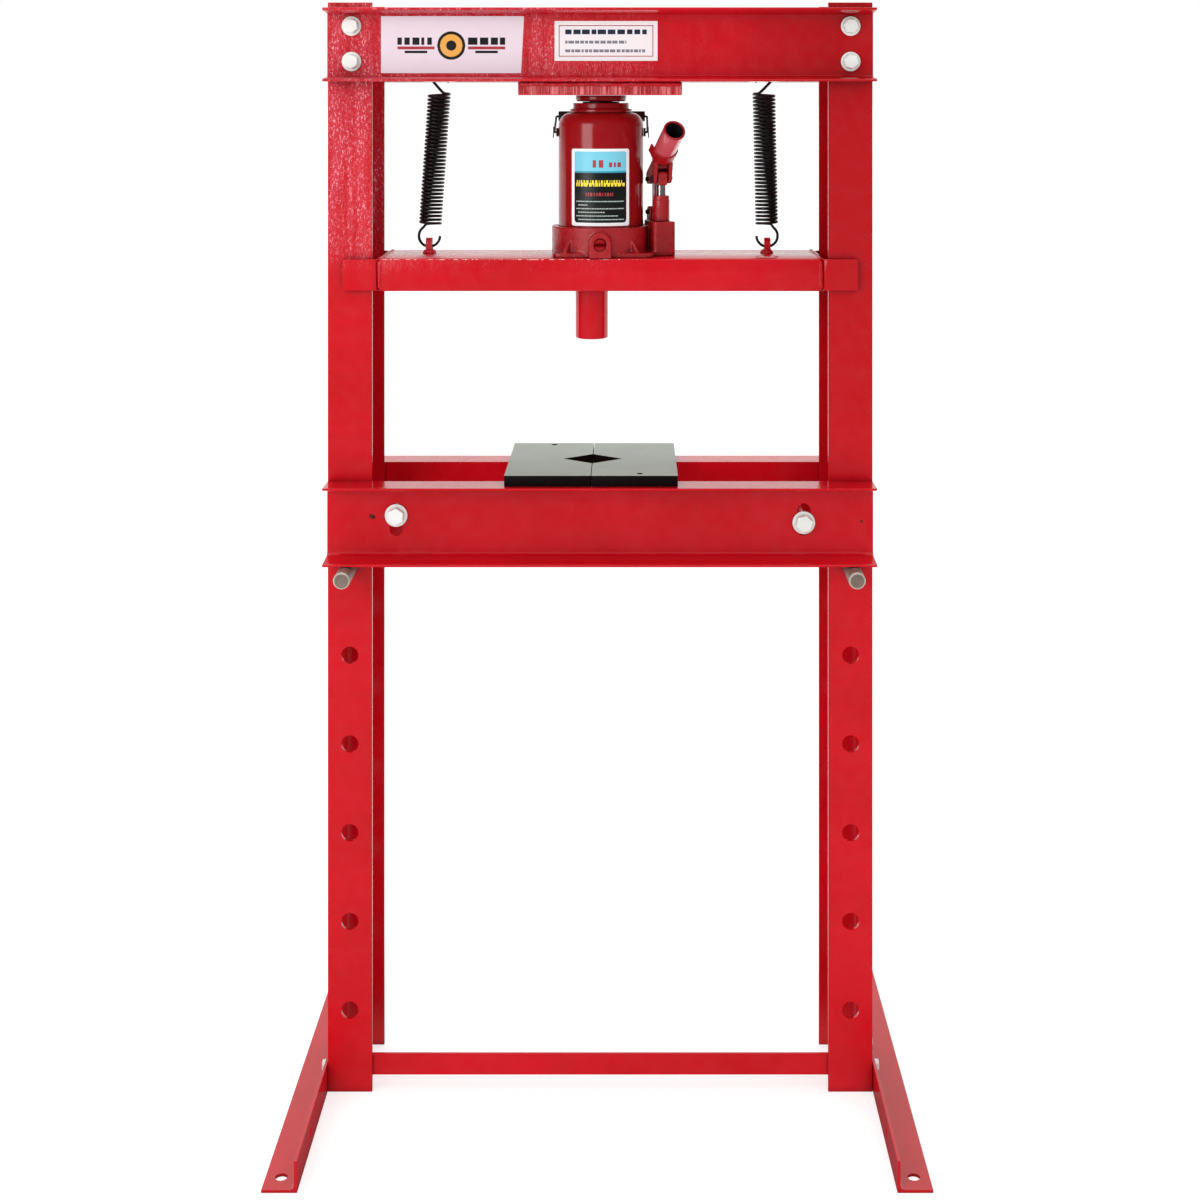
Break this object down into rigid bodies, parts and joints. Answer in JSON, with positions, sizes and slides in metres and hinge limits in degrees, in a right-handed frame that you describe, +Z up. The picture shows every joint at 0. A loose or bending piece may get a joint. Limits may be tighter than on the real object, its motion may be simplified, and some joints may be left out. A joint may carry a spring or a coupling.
{
  "type": "hydraulic shop press",
  "caption": "Floor-standing H-frame shop press: a bottle jack pushes a spring-returned crossbar with a ram towards an adjustable bed with notched arbor plates.",
  "frame": {"origin": "on the floor, at the centre of the footprint", "axes": "+X to the right seen from the front, +Y to the back, +Z up"},
  "size_m": [0.8406, 0.602, 1.5],
  "materials": {
    "frame_enamel": "glossy red enamel with light orange peel",
    "jack_enamel": "glossy darker red enamel",
    "zinc_hardware": "bright zinc plating",
    "bare_steel": "bare turned steel",
    "ground_steel": "ground faces, dark edges",
    "spring_steel": "oiled black spring wire",
    "polished_steel": "polished",
    "dark_steel": "blackened steel",
    "black_rubber": "matt black"
  },
  "bodies": {
    "frame": {"post_left": "frame_enamel", "post_right": "frame_enamel", "top_beam_front": "frame_enamel", "top_beam_rear": "frame_enamel", "head_plate": "frame_enamel", "spring_hanger_left": "frame_enamel", "spring_hanger_right": "frame_enamel", "foot_left": "frame_enamel", "foot_right": "frame_enamel", "tie_bar": "frame_enamel", "top_bolt_front_left_lower": "zinc_hardware", "top_bolt_front_left_upper": "zinc_hardware", "top_bolt_front_right_lower": "zinc_hardware", "top_bolt_front_right_upper": "zinc_hardware", "top_bolt_rear_left_lower": "zinc_hardware", "top_bolt_rear_left_upper": "zinc_hardware", "top_bolt_rear_right_lower": "zinc_hardware", "top_bolt_rear_right_upper": "zinc_hardware", "foot_bolt_left_front": "zinc_hardware", "foot_bolt_left_rear": "zinc_hardware", "foot_bolt_right_front": "zinc_hardware", "foot_bolt_right_rear": "zinc_hardware", "return_spring_left": "spring_steel", "return_spring_right": "spring_steel"},
    "carriage": {"crossbar": "frame_enamel", "guide_left": "frame_enamel", "guide_right": "frame_enamel", "ram": "frame_enamel", "spring_lug_left": "frame_enamel", "spring_lug_right": "frame_enamel", "jack_base": "jack_enamel", "jack_tank": "jack_enamel", "jack_cylinder": "bare_steel", "gland_nut": "jack_enamel", "filler_plug": "black_rubber", "bail_lug_left": "dark_steel", "bail_lug_right": "dark_steel", "pump_cylinder": "jack_enamel", "fulcrum_link": "jack_enamel", "fulcrum_pin": "dark_steel", "link_pin": "dark_steel"},
    "jack_ram": {"jack_piston": "polished_steel", "extension_screw": "jack_enamel"},
    "pump_lever": {"handle_socket": "jack_enamel", "pump_pin": "dark_steel"},
    "pump_rod": {"pump_piston": "polished_steel"},
    "release_valve": {"release_valve": "jack_enamel"},
    "carry_handle": {"carry_bail": "dark_steel", "carry_grip": "black_rubber"},
    "bed": {"bed_beam_front": "frame_enamel", "bed_beam_rear": "frame_enamel", "tie_bolt_left": "zinc_hardware", "tie_bolt_right": "zinc_hardware", "tie_spacer_left": "frame_enamel", "tie_spacer_right": "frame_enamel"},
    "arbor_plate_left": {"arbor_plate_left": "ground_steel"},
    "arbor_plate_right": {"arbor_plate_right": "ground_steel"},
    "support_pin_left": {"support_pin_left": "bare_steel"},
    "support_pin_right": {"support_pin_right": "bare_steel"}
  },
  "joints": [
    {"name": "ram_slide", "type": "slide", "parent": "frame", "child": "carriage", "axis": [0, 0, -1], "range_m": [0, 0.145], "stiffness_N_per_m": 5700, "springref_m": -0.06, "deforming": ["return_spring_left", "return_spring_right"]},
    {"name": "jack_extend", "type": "slide", "parent": "carriage", "child": "jack_ram", "axis": [0, 0, 1], "range_m": [0, 0.145]},
    {"name": "handle_pivot", "type": "hinge", "parent": "carriage", "child": "pump_lever", "pos_m": [0.07833, 0.00153, 1.25391], "axis": [-0.9613, -0.2756, 0], "range_deg": [-35, 25]},
    {"name": "pump_stroke", "type": "slide", "parent": "carriage", "child": "pump_rod", "axis": [0, 0, 1], "range_m": [-0.0141, 0.0101]},
    {"name": "release_valve_turn", "type": "hinge", "parent": "carriage", "child": "release_valve", "pos_m": [0, -0.0765, 1.1667], "axis": [0, -1, 0], "range_deg": [0, 270]},
    {"name": "carry_handle_swing", "type": "hinge", "parent": "carriage", "child": "carry_handle", "pos_m": [0, 0, 1.32], "axis": [1, 0, 0], "range_deg": [-38, 16]},
    {"name": "bed_lift", "type": "slide", "parent": "frame", "child": "bed", "axis": [0, 0, 1], "range_m": [0, 0.025]},
    {"name": "plate_left_slide", "type": "slide", "parent": "bed", "child": "arbor_plate_left", "axis": [-1, 0, 0], "range_m": [0, 0.12]},
    {"name": "plate_right_slide", "type": "slide", "parent": "bed", "child": "arbor_plate_right", "axis": [1, 0, 0], "range_m": [0, 0.12]},
    {"name": "pin_left_pull", "type": "slide", "parent": "frame", "child": "support_pin_left", "axis": [0, -1, 0], "range_m": [0, 0.29]},
    {"name": "pin_right_pull", "type": "slide", "parent": "frame", "child": "support_pin_right", "axis": [0, -1, 0], "range_m": [0, 0.29]}
  ],
  "couplings": [
    {"joint": "jack_extend", "follows": "ram_slide", "ratio": 1},
    {"joint": "pump_stroke", "follows": "handle_pivot", "m_per_rad": 0.0229}
  ]
}
